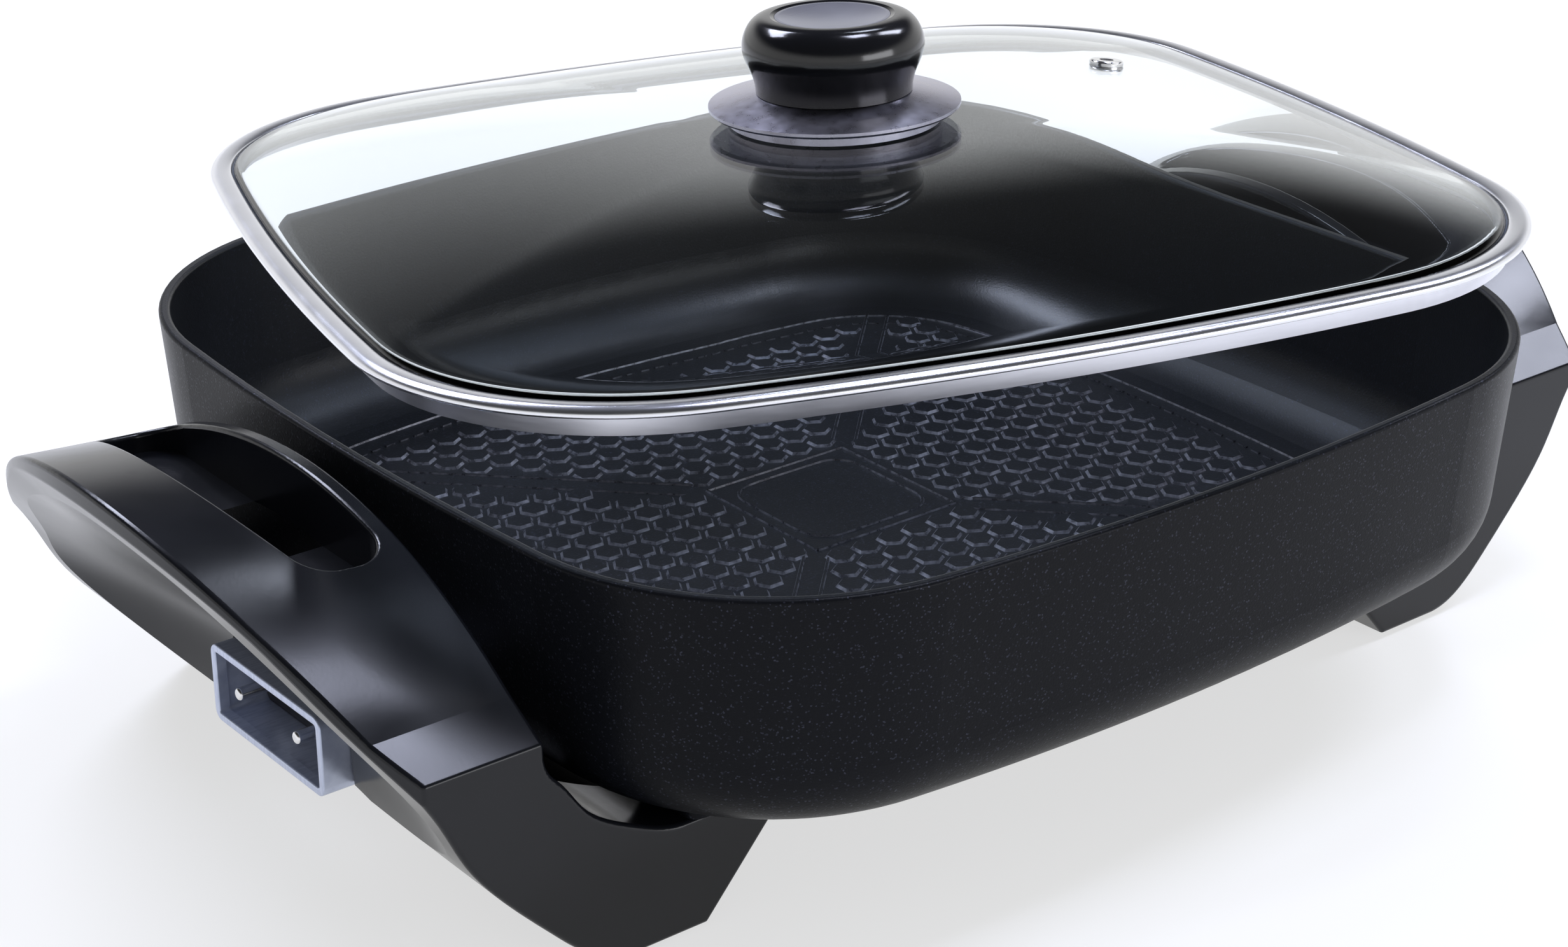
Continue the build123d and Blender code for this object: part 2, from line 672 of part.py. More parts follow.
with BuildPart() as glass_seal:
    with BuildSketch(lid_at.offset(-shelf_low + shelf_t)):
        add(lid_outline(bead_wid + glass_gap + 0.5))
        add(lid_outline(skirt_inset + shelf_wid - 0.3), mode=Mode.SUBTRACT)
    extrude(amount=glass_edge_z - glass_t + shelf_low - shelf_t)
glass_seal.part.label = "glass_seal"
export_step(glass_seal.part, "parts/glass_seal.step")

# seat of the vent, square to the slope of the glass there
vent_out = sqrt(vent_x**2 + vent_y**2)
vent_share = vent_x / (lid_half_x - bead_wid)
vent_low_z = dome_z(vent_share)
vent_tilt = 7.5
vent_across = lid_at.x_dir * (vent_x / vent_out) + lid_at.y_dir * (vent_y / vent_out)
vent_up = lid_at.z_dir * cos(radians(vent_tilt)) + vent_across * sin(radians(vent_tilt))
vent_spot = lid_at.origin + lid_at.x_dir * vent_x + lid_at.y_dir * vent_y + lid_at.z_dir * vent_low_z
vent_at = Plane(origin=vent_spot, z_dir=vent_up)

with BuildPart() as glass_under:
    for share in (1.02, 0.92, 0.8, 0.66, 0.5, 0.35, glass_flat):
        with BuildSketch(lid_at.offset(dome_z(share) - glass_t)):
            add(glass_outline(share))
    loft(ruled=True)

with BuildPart() as lid_glass:
    with BuildSketch(lid_at.offset(glass_edge_z - glass_t)):
        add(glass_outline(1.0))
    for share in (1.0, 0.92, 0.8, 0.66, 0.5, 0.35, glass_flat):
        with BuildSketch(lid_at.offset(dome_z(share))):
            add(glass_outline(share))
    loft(ruled=True)
    add(glass_under.part, mode=Mode.SUBTRACT)
    with BuildSketch(lid_at):
        Circle(knob_screw_d / 2 + 1)
    extrude(amount=glass_top_z + 5, mode=Mode.SUBTRACT)
    with BuildSketch(vent_at.offset(-10)):
        Circle(vent_neck_d / 2 + bore_gap)
    extrude(amount=20, mode=Mode.SUBTRACT)
    with BuildSketch(vent_at.offset(-0.3)):
        Circle(vent_flange_d / 2 + bore_gap)
    extrude(amount=5, mode=Mode.SUBTRACT)
    with BuildSketch(vent_at.offset(-glass_t + 0.5)):
        Circle(vent_flange_d / 2 + bore_gap)
    extrude(amount=-5, mode=Mode.SUBTRACT)
lid_glass.part.label = "lid_glass"
export_step(lid_glass.part, "parts/lid_glass.step")

with BuildPart() as vent_grommet:
    with BuildSketch(vent_at.offset(-0.3)):
        Circle(vent_flange_d / 2)
    extrude(amount=vent_flange_t)
    with BuildSketch(vent_at.offset(-glass_t + 0.5)):
        Circle(vent_flange_d / 2)
    extrude(amount=-vent_flange_t)
    fillet(vent_grommet.edges().filter_by(GeomType.CIRCLE).sort_by(Axis(vent_at.origin, vent_at.z_dir))[-1], 0.7)
    with BuildSketch(vent_at.offset(-glass_t + 0.5)):
        Circle(vent_neck_d / 2)
    extrude(amount=glass_t - 0.8)
    with BuildSketch(vent_at.offset(-10)):
        Circle(vent_d / 2)
    extrude(amount=20, mode=Mode.SUBTRACT)
vent_grommet.part.label = "vent_grommet"
export_step(vent_grommet.part, "parts/vent_grommet.step")

# ================= knob =================

glass_plane = lid_at.offset(glass_top_z)
with BuildPart() as knob_gasket:
    with BuildSketch(glass_plane):
        Circle(ring_d / 2 - 2)
        Circle(knob_screw_d / 2 + 1, mode=Mode.SUBTRACT)
    extrude(amount=gasket_t)
knob_gasket.part.label = "knob_gasket"
export_step(knob_gasket.part, "parts/knob_gasket.step")

z0 = glass_top_z
cone_top = ring_h + disc_edge + cone_h
with BuildPart() as knob_base:
    with BuildSketch(lid_side):
        with BuildLine():
            Polyline(
                (knob_screw_d / 2 + bore_gap, z0 + gasket_t),
                (ring_d / 2, z0 + gasket_t),
                (ring_d / 2, z0 + ring_h),
                (disc_d / 2 - 0.8, z0 + ring_h),
                (disc_d / 2, z0 + ring_h + 0.7),
                (disc_d / 2, z0 + ring_h + disc_edge),
                (grip_foot_d / 2 - 1, z0 + cone_top),
                (knob_screw_d / 2 + bore_gap, z0 + cone_top),
                close=True,
            )
        make_face()
    revolve(axis=lid_axis)
knob_base.part.label = "knob_base"
export_step(knob_base.part, "parts/knob_base.step")

with BuildPart() as knob_grip:
    with BuildSketch(lid_side):
        with BuildLine():
            Line((knob_screw_d / 2 + bore_gap, z0 + cone_top), (grip_foot_d / 2, z0 + cone_top))
            Spline(
                (grip_foot_d / 2, z0 + cone_top),
                (grip_foot_d / 2 + 1.4, z0 + (cone_top + grip_wide_h) / 2),
                (grip_wide_d / 2, z0 + grip_wide_h),
                (dish_d / 2 + 5.5, z0 + grip_top_h - 0.9),
                (dish_d / 2 + 1.2, z0 + grip_top_h),
                tangents=((0, 1), (-1, 0)),
            )
            Polyline(
                (dish_d / 2 + 1.2, z0 + grip_top_h),
                (dish_d / 2 + bore_gap, z0 + grip_top_h - 0.3),
                (dish_d / 2 + bore_gap, z0 + grip_top_h - dish_t - 0.3),
                (insert_d / 2 + insert_gap, z0 + grip_top_h - dish_t - 0.3),
                (insert_d / 2 + insert_gap, z0 + insert_low - insert_gap),
                (knob_screw_d / 2 + bore_gap, z0 + insert_low - insert_gap),
                (knob_screw_d / 2 + bore_gap, z0 + cone_top),
            )
        make_face()
    revolve(axis=lid_axis)
knob_grip.part.label = "knob_grip"
export_step(knob_grip.part, "parts/knob_grip.step")

dish_plane = lid_at.offset(z0 + grip_top_h - dish_t - 0.3)
dish_lip = 0.8
dish_ball_r = ((dish_d / 2 - dish_lip) ** 2 + dish_depth**2) / (2 * dish_depth)
with BuildPart() as knob_dish:
    with BuildSketch(dish_plane):
        Circle(dish_d / 2)
    extrude(amount=dish_t)
    with Locations(dish_plane.origin + dish_plane.z_dir * (dish_t - dish_depth + dish_ball_r)):
        Sphere(dish_ball_r, mode=Mode.SUBTRACT)
knob_dish.part.label = "knob_dish"
export_step(knob_dish.part, "parts/knob_dish.step")

with BuildPart() as knob_insert:
    with BuildSketch(glass_plane.offset(insert_low)):
        Circle(insert_d / 2)
    extrude(amount=insert_h)
    chamfer(knob_insert.edges(), 0.5)
knob_insert.part.label = "knob_insert"
export_step(knob_insert.part, "parts/knob_insert.step")

under_glass = glass_plane.offset(-glass_t)
with BuildPart() as under_washer:
    with BuildSketch(under_glass):
        Circle(under_washer_d / 2)
        Circle(knob_screw_d / 2 + bore_gap, mode=Mode.SUBTRACT)
    extrude(amount=-under_washer_t)
under_washer.part.label = "under_washer"
export_step(under_washer.part, "parts/under_washer.step")

screw_seat = under_glass.offset(-under_washer_t)
with BuildPart() as knob_screw:
    with BuildSketch(screw_seat):
        Circle(knob_screw_head_d / 2)
    extrude(amount=-knob_screw_head_h)
    fillet(knob_screw.edges(), knob_screw_head_h * 0.3)
    with BuildSketch(screw_seat):
        Circle(knob_screw_d / 2)
    extrude(amount=under_washer_t + glass_t + insert_low - insert_gap - 0.3)
knob_screw.part.label = "knob_screw"
export_step(knob_screw.part, "parts/knob_screw.step")
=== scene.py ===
# %% [markdown]
# An electric skillet: a square black pan with bulging sides, two arched handles on legs, a
# power socket in a steel shroud, and a loose glass lid with a steel band and a round knob.
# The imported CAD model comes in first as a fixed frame. Everything made here is placed by its
# numbers, in metres, with +Z up and the feet on the table.

# %% Load the frame
import math

import bmesh
import bpy
from mathutils import Matrix, Vector


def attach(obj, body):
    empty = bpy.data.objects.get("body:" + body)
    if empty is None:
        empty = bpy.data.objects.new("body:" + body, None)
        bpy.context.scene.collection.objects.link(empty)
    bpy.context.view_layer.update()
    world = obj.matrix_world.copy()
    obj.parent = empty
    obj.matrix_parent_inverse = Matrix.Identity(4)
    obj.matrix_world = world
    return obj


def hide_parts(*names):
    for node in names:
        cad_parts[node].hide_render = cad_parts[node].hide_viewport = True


MM = 0.001
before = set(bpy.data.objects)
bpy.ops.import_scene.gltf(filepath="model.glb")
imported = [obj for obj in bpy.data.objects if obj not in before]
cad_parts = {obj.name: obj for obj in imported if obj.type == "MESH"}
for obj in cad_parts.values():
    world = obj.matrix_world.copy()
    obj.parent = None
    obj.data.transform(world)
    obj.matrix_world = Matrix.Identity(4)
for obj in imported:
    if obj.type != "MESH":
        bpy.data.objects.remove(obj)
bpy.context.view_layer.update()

# %% [markdown]
# The camera is a real position and a real lens. It looks across a corner of the pan from a
# little above. A wide lens near by would fit everything in as well, but it would stretch the
# near handle, so this one stands back with a long lens. It has no shift and no blur.

# %% Camera
camera_at = Vector((-0.4773, -0.5778, 0.3847))
camera_aim = Vector((-0.0809, -0.0808, 0.1000))
camera_data = bpy.data.cameras.new("camera")
camera_data.lens = 68.44
camera_data.sensor_width = 36.0
camera = bpy.data.objects.new("camera", camera_data)
bpy.context.scene.collection.objects.link(camera)
camera.location = camera_at
camera.rotation_euler = (camera_aim - camera_at).to_track_quat("-Z", "Y").to_euler()
bpy.context.scene.camera = camera
print("camera", round((camera_aim - camera_at).length, 3), "m from its aim")

# %% [markdown]
# A black, glossy thing is drawn by what it mirrors, so each lamp is a soft panel aimed at one
# surface. Three hang overhead. A small one draws the ledge of the near handle, a weak one the
# end of that handle's finger slot, and a long one to the right draws the far ledge, the
# pressed floor and the foot of the far wall. One high behind draws the other wall, and a low
# one in front fills the steel band. A single big lamp would be simpler, but it would turn
# every level black surface grey. No panel can be seen by looking through the glass.

# %% Panels


def soft_panel(name, at, aim, size, watts, tint):
    lamp = bpy.data.lights.new(name, "AREA")
    lamp.shape = "RECTANGLE"
    lamp.size, lamp.size_y = size
    lamp.energy = watts
    lamp.color = tint
    panel = bpy.data.objects.new(name, lamp)
    bpy.context.scene.collection.objects.link(panel)
    panel.location = at
    panel.rotation_euler = (Vector(aim) - Vector(at)).to_track_quat("-Z", "Y").to_euler()
    panel.visible_transmission = False
    return panel


panels = [
    soft_panel(
        "panel_ledge", at=(0.25, -0.17, 1.20), aim=(0.05, -0.17, 0.06),
        size=(0.28, 0.30), watts=6.5, tint=(0.76, 0.80, 1.0),
    ),
    soft_panel(
        "panel_slot", at=(0.68, 0.46, 1.20), aim=(0.48, 0.46, 0.06),
        size=(0.24, 0.26), watts=2.5, tint=(0.78, 0.84, 1.0),
    ),
    soft_panel(
        "panel_right", at=(1.12, -0.24, 1.20), aim=(0.92, -0.24, 0.06),
        size=(0.32, 0.80), watts=15, tint=(0.80, 0.84, 1.0),
    ),
    soft_panel(
        "panel_back", at=(-0.16, 0.86, 1.02), aim=(0, 0, 0.06),
        size=(0.75, 0.32), watts=15, tint=(0.78, 0.82, 1.0),
    ),
    soft_panel(
        "panel_front", at=(0.45, -1.35, 0.32), aim=(0, 0, 0.1),
        size=(1.1, 0.4), watts=7, tint=(0.95, 0.96, 1.0),
    ),
]
print("panels", [panel.name for panel in panels])

# %% [markdown]
# Every node tree below is built from the same few moves, so they are helpers: feed a node's
# inputs, add a node, do one sum, spread a value over a range, and blend two shaders. An input
# takes a plain value, or the output of another node. Dragging nodes by hand would do the
# same, but a script gives the same tree each time.

# %% Helpers for node trees


def feed(tree, node, inputs):
    """Gives each input a value, or links it to another node's output."""
    for name, given in inputs.items():
        if isinstance(given, bpy.types.NodeSocket):
            tree.links.new(given, node.inputs[name])
        else:
            node.inputs[name].default_value = given


def add_node(tree, kind, inputs, **settings):
    """Adds a node. Settings come first: some choose which inputs the node has."""
    node = tree.nodes.new(kind)
    for setting, choice in settings.items():
        setattr(node, setting, choice)
    feed(tree, node, inputs)
    return node


def math_node(tree, operation, *values):
    """One sum on numbers or on other nodes' outputs."""
    node = add_node(tree, "ShaderNodeMath", dict(enumerate(values)), operation=operation)
    return node.outputs[0]


def spread(tree, value, to, source=(0.3, 0.7), **settings):
    """Stretches a value's usual range to the range wanted."""
    inputs = {"Value": value, "From Min": source[0], "From Max": source[1]}
    inputs |= {"To Min": to[0], "To Max": to[1]}
    return add_node(tree, "ShaderNodeMapRange", inputs, **settings).outputs["Result"]


def blend_shaders(tree, share, first, second):
    """Only the first shader at a share of 0, only the second at 1."""
    inputs = {0: share, 1: first.outputs[0], 2: second.outputs[0]}
    return add_node(tree, "ShaderNodeMixShader", inputs).outputs[0]


print("tree helpers ready")

# %% [markdown]
# The room is plain white where it is looked at straight. Metal and glass show it white near
# the horizon, where the background is, and dim overhead, so that level black surfaces stay
# deep and only those that tilt away turn pale. All other light from it is a weak, even fill.
# A picture of a studio wrapped round the scene could do this too, but here three kinds of ray
# and one soft step with height are enough.

# %% World
fill_strength = 0.5
white_below, dim_above, dim_strength = 0.14, 0.42, 0.04

world = bpy.data.worlds.new("studio")
bpy.context.scene.world = world
world.use_nodes = True
sky = world.node_tree
rays = add_node(sky, "ShaderNodeLightPath", {}).outputs
in_gloss = math_node(sky, "MAXIMUM", rays["Is Glossy Ray"], rays["Is Transmission Ray"])
look = add_node(sky, "ShaderNodeTexCoord", {})
split = add_node(sky, "ShaderNodeSeparateXYZ", {"Vector": look.outputs["Generated"]})
near_horizon = spread(
    sky, split.outputs["Z"], to=(1.0, dim_strength), source=(white_below, dim_above),
    interpolation_type="SMOOTHSTEP",
)
white_in_gloss = math_node(sky, "MULTIPLY", in_gloss, near_horizon)
white_share = math_node(sky, "MAXIMUM", rays["Is Camera Ray"], white_in_gloss)
elsewhere = math_node(sky, "SUBTRACT", 1.0, in_gloss)
fill = math_node(sky, "MULTIPLY", elsewhere, fill_strength)
fill_light = sky.nodes["Background"]
feed(sky, fill_light, {"Color": (0.86, 0.88, 0.92, 1), "Strength": fill})
white_room = add_node(sky, "ShaderNodeBackground", {"Color": (1, 1, 1, 1), "Strength": 1.0})
room = blend_shaders(sky, white_share, fill_light, white_room)
feed(sky, sky.nodes["World Output"], {"Surface": room})
bpy.context.scene.view_settings.view_transform = "Standard"
print("world", world.name, "fill", fill_strength)

# %% [markdown]
# The table is a plain pale sheet. Its colour is a little below white, so that it catches the
# soft shadow under the feet. Where it is seen, straight or in metal and glass, a share of
# pure white is mixed in, so that it runs into the white room with no edge. Stronger lamps
# would whiten it too, but they would also wash out the pan.

# %% Table
table_half = 3.0
own_white = 0.65


def new_finish(name):
    finish = bpy.data.materials.new(name)
    finish.use_nodes = True
    return finish, finish.node_tree, finish.node_tree.nodes["Principled BSDF"]


pale, tree, shader = new_finish("pale_table")
matt_white = {"Base Color": (0.93, 0.93, 0.93, 1), "Roughness": 0.6, "Specular IOR Level": 0.2}
feed(tree, shader, matt_white)
rays = add_node(tree, "ShaderNodeLightPath", {}).outputs
seen = math_node(tree, "MAXIMUM", rays["Is Camera Ray"], rays["Is Transmission Ray"])
seen = math_node(tree, "MAXIMUM", seen, rays["Is Glossy Ray"])
share = math_node(tree, "MULTIPLY", seen, own_white)
white = add_node(tree, "ShaderNodeEmission", {"Color": (1, 1, 1, 1), "Strength": 1.0})
seen_as = blend_shaders(tree, share, shader, white)
feed(tree, tree.nodes["Material Output"], {"Surface": seen_as})

table_mesh = bpy.data.meshes.new("table")
corner_signs = ((-1, -1), (1, -1), (1, 1), (-1, 1))
table_corners = [(x * table_half, y * table_half, 0) for x, y in corner_signs]
table_mesh.from_pydata(table_corners, [], [(0, 1, 2, 3)])
table_mesh.materials.append(pale)
table = bpy.data.objects.new("table", table_mesh)
bpy.context.scene.collection.objects.link(table)
print("table", table.name)

# %% [markdown]
# Every finish starts from the same few parts: object coordinates, so that a pattern stays the
# same size on every piece, noise that clouds the colour and the gloss a little, and a fine
# bump. Painted images could carry all this, but they would need each piece unwrapped.

# %% Helpers for finishes


def place_of(tree, stretch=(1, 1, 1)):
    where = add_node(tree, "ShaderNodeTexCoord", {})
    fit = add_node(tree, "ShaderNodeMapping", {"Scale": stretch, "Vector": where.outputs["Object"]})
    return fit.outputs["Vector"]


def noise_at(tree, place, fineness, detail=3.0):
    inputs = {"Vector": place, "Scale": fineness, "Detail": detail, "Roughness": 0.55}
    return add_node(tree, "ShaderNodeTexNoise", inputs).outputs["Fac"]


def two_tones(tree, value, dark, light):
    ramp = add_node(tree, "ShaderNodeValToRGB", {"Fac": value})
    for stop, at, tone in zip(ramp.color_ramp.elements, (0.35, 0.65), (dark, light)):
        stop.position = at
        stop.color = (*tone, 1)
    return ramp.outputs["Color"]


def roughen(tree, shader, value, depth, strength):
    inputs = {"Height": value, "Distance": depth, "Strength": strength}
    bump = add_node(tree, "ShaderNodeBump", inputs)
    feed(tree, shader, {"Normal": bump.outputs["Normal"]})


print("finish helpers ready")

# %% [markdown]
# Two families cover nearly every piece. A moulding has wide, faint clouds in its colour and
# gloss and a fine grain on top. A worked metal has streaks, drawn out across the direction in
# which the pattern is squeezed, that change colour, gloss and bump together. A function for
# each keeps the finishes short and alike.

# %% Moulded plastic and worked metal


def moulded_plastic(name, dark, light, rough, grain, depth, shine=0.5):
    finish, tree, shader = new_finish(name)
    place = place_of(tree)
    cloud = noise_at(tree, place, fineness=28.0)
    colour = two_tones(tree, cloud, dark, light)
    gloss = spread(tree, cloud, to=rough)
    feed(tree, shader, {"Base Color": colour, "Roughness": gloss, "Specular IOR Level": shine})
    roughen(tree, shader, noise_at(tree, place, fineness=grain), depth, strength=0.4)
    return finish


def worked_metal(name, dark, light, rough, grain, depth, stretch=(1, 1, 1), metal=1.0):
    finish, tree, shader = new_finish(name)
    streaks = noise_at(tree, place_of(tree, stretch), fineness=grain, detail=4.0)
    colour = two_tones(tree, streaks, dark, light)
    gloss = spread(tree, streaks, to=rough)
    feed(tree, shader, {"Base Color": colour, "Roughness": gloss, "Metallic": metal})
    roughen(tree, shader, streaks, depth, strength=0.3)
    return finish


print("families ready")

# %% [markdown]
# The handles and the knob are black phenolic moulding: nearly black with a slight blue cast,
# smooth enough to carry a broad soft highlight, and a little cloudy where hands polish it.
# The handles are satin and mirror little, the knob is glossier, and the dish in its top is
# grey. The block behind the pins is dull, and rubber is duller still.

# %% Black mouldings
handle_black = moulded_plastic(
    "handle_black", dark=(0.0045, 0.005, 0.0065), light=(0.006, 0.0065, 0.0085),
    rough=(0.19, 0.25), grain=900, depth=0.02 * MM, shine=0.3,
)
knob_black = moulded_plastic(
    "knob_black", dark=(0.0035, 0.0038, 0.005), light=(0.006, 0.0062, 0.0075),
    rough=(0.10, 0.16), grain=1200, depth=0.02 * MM,
)
dish_grey = moulded_plastic(
    "dish_grey", dark=(0.10, 0.10, 0.115), light=(0.15, 0.15, 0.17),
    rough=(0.25, 0.36), grain=1500, depth=0.02 * MM,
)
block_black = moulded_plastic(
    "block_black", dark=(0.014, 0.014, 0.016), light=(0.022, 0.022, 0.024),
    rough=(0.45, 0.6), grain=700, depth=0.08 * MM,
)
rubber_black = moulded_plastic(
    "rubber_black", dark=(0.018, 0.018, 0.019), light=(0.03, 0.03, 0.031),
    rough=(0.7, 0.85), grain=500, depth=0.1 * MM,
)
print("mouldings", handle_black.name, knob_black.name)

# %% [markdown]
# The pan is cast aluminium under a sprayed black non-stick coat. Mineral flecks in the coat
# catch the light as a fine sparkle, so a tight cell pattern picks a few spots and makes them
# brighter and more metallic. The coat is satin inside and nearly matt outside. Two materials
# could split that, but the pan is one node, so the finish looks which way each spot faces:
# away from the pan's middle is outside.

# %% Non-stick coat
fleck_fineness = 2600
fleck_from, fleck_full = 0.93, 0.99
inside_shine, outside_shine = 0.42, 0.07
turn_over = 0.01


def vector_node(tree, operation, first, second):
    inputs = {0: first, 1: second}
    return add_node(tree, "ShaderNodeVectorMath", inputs, operation=operation).outputs


coated, tree, shader = new_finish("coated_pan")
place = place_of(tree)
cells = add_node(tree, "ShaderNodeTexVoronoi", {"Vector": place, "Scale": fleck_fineness})
chance = add_node(tree, "ShaderNodeSeparateColor", {"Color": cells.outputs["Color"]})
fleck = spread(tree, chance.outputs["Red"], to=(0.0, 1.0), source=(fleck_from, fleck_full))
tones = {"Factor": fleck, "A": (0.0055, 0.006, 0.0075, 1), "B": (0.032, 0.034, 0.046, 1)}
coat_mix = add_node(tree, "ShaderNodeMix", tones, data_type="RGBA")
gloss = spread(tree, noise_at(tree, place, fineness=18.0), to=(0.33, 0.42))
around = add_node(tree, "ShaderNodeTexCoord", {}).outputs
level = vector_node(tree, "MULTIPLY", around["Object"], (1, 1, 0))["Vector"]
outward = vector_node(tree, "DOT_PRODUCT", level, around["Normal"])["Value"]
shine = spread(tree, outward, to=(inside_shine, outside_shine), source=(-turn_over, turn_over))
metal = spread(tree, fleck, to=(0.0, 0.5), source=(0.0, 1.0))
feed(tree, shader, {"Base Color": coat_mix.outputs["Result"], "Roughness": gloss})
feed(tree, shader, {"Specular IOR Level": shine, "Metallic": metal})
grain = noise_at(tree, place, fineness=1700.0, detail=2.0)
roughen(tree, shader, grain, depth=0.07 * MM, strength=0.75)
print("coat", coated.name)

# %% [markdown]
# On the slopes of the pressed floor pattern a painted highlight makes their edges draw as fine
# pale lines: a paler, partly metallic grey stands in for the light those edges catch. The shader
# could look for sharp edges itself, but not every renderer can. A second finish that is later
# put on the sloping faces works anywhere.

# %% Painted highlight on the slopes
slope_highlight_finish, tree, shader = new_finish("pressed_slope_highlight")
place = place_of(tree)
cloud = noise_at(tree, place, fineness=420.0)
# Painted highlight: the sloping faces get a pale, partly metallic grey for the light their edges
# catch.
colour = two_tones(tree, cloud, dark=(0.10, 0.10, 0.115), light=(0.30, 0.30, 0.335))
gloss = spread(tree, cloud, to=(0.24, 0.36))
feed(tree, shader, {"Base Color": colour, "Roughness": gloss, "Metallic": 0.7})
grain = noise_at(tree, place, fineness=1900.0, detail=2.0)
roughen(tree, shader, grain, depth=0.03 * MM, strength=0.4)
print("painted slope highlights", slope_highlight_finish.name)

# %% [markdown]
# Metals. The bead of the lid's band is bright stainless with faint level streaks. The skirt
# below it is the same steel, softer, and its paler, bluer colour is painted reflected light.
# The shelf under the glass lies in the dark and is dull, and its dark colour is painted shade.
# The shroud is satin sheet, and its bluish cast is partly painted reflection of cool light.
# The disc under the knob is satin too. Pins and the vent are plated, screws are zinc, and the
# heating tube is dulled by heat.

# %% Metals
level_streaks = (1, 1, 9)
band_steel = worked_metal(
    "band_steel", dark=(0.78, 0.79, 0.84), light=(0.84, 0.85, 0.90),
    rough=(0.22, 0.26), grain=60, depth=0.002 * MM, stretch=level_streaks,
)
# Painted reflected light: the skirt's steel is paler and bluer than the bead's, as if lit from the
# front.
skirt_steel_painted_light = worked_metal(
    "skirt_steel_painted_light", dark=(0.83, 0.84, 0.91), light=(0.88, 0.89, 0.96),
    rough=(0.38, 0.44), grain=60, depth=0.002 * MM, stretch=level_streaks,
)
# Painted shade: the shelf's steel is coloured dark because it lies in the dark.
shelf_steel_painted_shade = worked_metal(
    "shelf_steel_painted_shade", dark=(0.20, 0.22, 0.29), light=(0.30, 0.32, 0.41),
    rough=(0.30, 0.4), grain=60, depth=0.01 * MM, stretch=level_streaks, metal=0.7,
)
# Partly painted reflection: a pale blue colour on a part-metal finish lights the plate where steel
# would mirror the dark handle.
shroud_steel = worked_metal(
    "shroud_steel", dark=(0.50, 0.55, 0.70), light=(0.64, 0.69, 0.84),
    rough=(0.28, 0.4), grain=90, depth=0.03 * MM, stretch=(2, 14, 2), metal=0.65,
)
plated = worked_metal(
    "plated", dark=(0.66, 0.66, 0.67), light=(0.8, 0.8, 0.81),
    rough=(0.14, 0.22), grain=120, depth=0.01 * MM,
)
disc_satin = worked_metal(
    "disc_satin", dark=(0.40, 0.39, 0.46), light=(0.46, 0.45, 0.53),
    rough=(0.26, 0.32), grain=300, depth=0.01 * MM,
)
zinc = worked_metal(
    "zinc", dark=(0.42, 0.42, 0.43), light=(0.56, 0.56, 0.56),
    rough=(0.3, 0.42), grain=160, depth=0.02 * MM,
)
tube_steel = worked_metal(
    "tube_steel", dark=(0.20, 0.185, 0.17), light=(0.36, 0.34, 0.32),
    rough=(0.4, 0.55), grain=70, depth=0.05 * MM,
)
brass = worked_metal(
    "brass", dark=(0.60, 0.46, 0.20), light=(0.74, 0.60, 0.30),
    rough=(0.24, 0.34), grain=120, depth=0.02 * MM,
)
print("metals", band_steel.name, shroud_steel.name)

# %% [markdown]
# The bushes round the pins are off-white ceramic with a faint mottle. The glass is clear with
# a hint of blue, perfectly smooth and barely wavy, and a dark tint holds its reflections
# back. Light has to reach the pan through it. Tracing that exactly is slow and noisy, so for
# shadow rays the glass turns into a plain pale filter.

# %% Ceramic and glass
ceramic = moulded_plastic(
    "ceramic", dark=(0.70, 0.68, 0.62), light=(0.80, 0.79, 0.74),
    rough=(0.35, 0.5), grain=600, depth=0.03 * MM,
)
clear_glass, tree, shader = new_finish("lid_glass_clear")
feed(tree, shader, {"Base Color": (0.90, 0.955, 0.985, 1), "Roughness": 0.0, "IOR": 1.5})
feed(tree, shader, {"Transmission Weight": 1.0, "Specular Tint": (0.2, 0.21, 0.24, 1)})
rays = add_node(tree, "ShaderNodeLightPath", {}).outputs
pale_filter = add_node(tree, "ShaderNodeBsdfTransparent", {"Color": (0.90, 0.94, 0.96, 1)})
pick = blend_shaders(tree, rays["Is Shadow Ray"], shader, pale_filter)
feed(tree, tree.nodes["Material Output"], {"Surface": pick})
wave = noise_at(tree, place_of(tree), fineness=14.0, detail=1.0)
roughen(tree, shader, wave, depth=0.2 * MM, strength=0.05)
print("glass", clear_glass.name)

# %% [markdown]
# The CAD nodes already have the right shapes for everything turned, bent or moulded. They
# could be copied and remade, but nothing would be won, so they stay as they are and only get
# their finishes.

# %% Finish the CAD nodes
node_finishes = {
    coated: ["pan"],
    handle_black: ["left_handle", "right_handle"],
    block_black: ["terminal_block"],
    shroud_steel: ["socket_shroud"],
    plated: ["terminal_pins", "vent_grommet"],
    zinc: [
        "handle_screws", "handle_washers", "terminal_screws",
        "shroud_screws", "under_washer", "knob_screw",
    ],
    tube_steel: ["heater_sheath", "probe_sleeve"],
    brass: ["knob_insert"],
    ceramic: ["pin_insulators"],
    rubber_black: ["foot_pads", "glass_seal", "knob_gasket"],
    knob_black: ["knob_grip"],
    disc_satin: ["knob_base"],
    dish_grey: ["knob_dish"],
    band_steel: ["lid_band"],
    clear_glass: ["lid_glass"],
}
for finish, names in node_finishes.items():
    for name in names:
        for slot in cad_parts[name].material_slots:
            slot.material = finish
print("finished", sum(len(names) for names in node_finishes.values()), "nodes")

# %% [markdown]
# The lid is turned and tilted above the pan. Its pieces are easiest to make flat, about the
# lid's own middle. Turning each object afterwards would be simpler, but a finished object has
# to sit at the origin, so one matrix moves the mesh instead. The insert under the knob is the
# point that stays over the middle of the pan. The turns are in degrees, about Z, Y and X.

# %% Where the lid is
lid_turned, lid_rolled, lid_tipped = -17.2, -0.9, -2.8
lid_plane_z = 132.0 * MM
insert_mid = 33.0 * MM

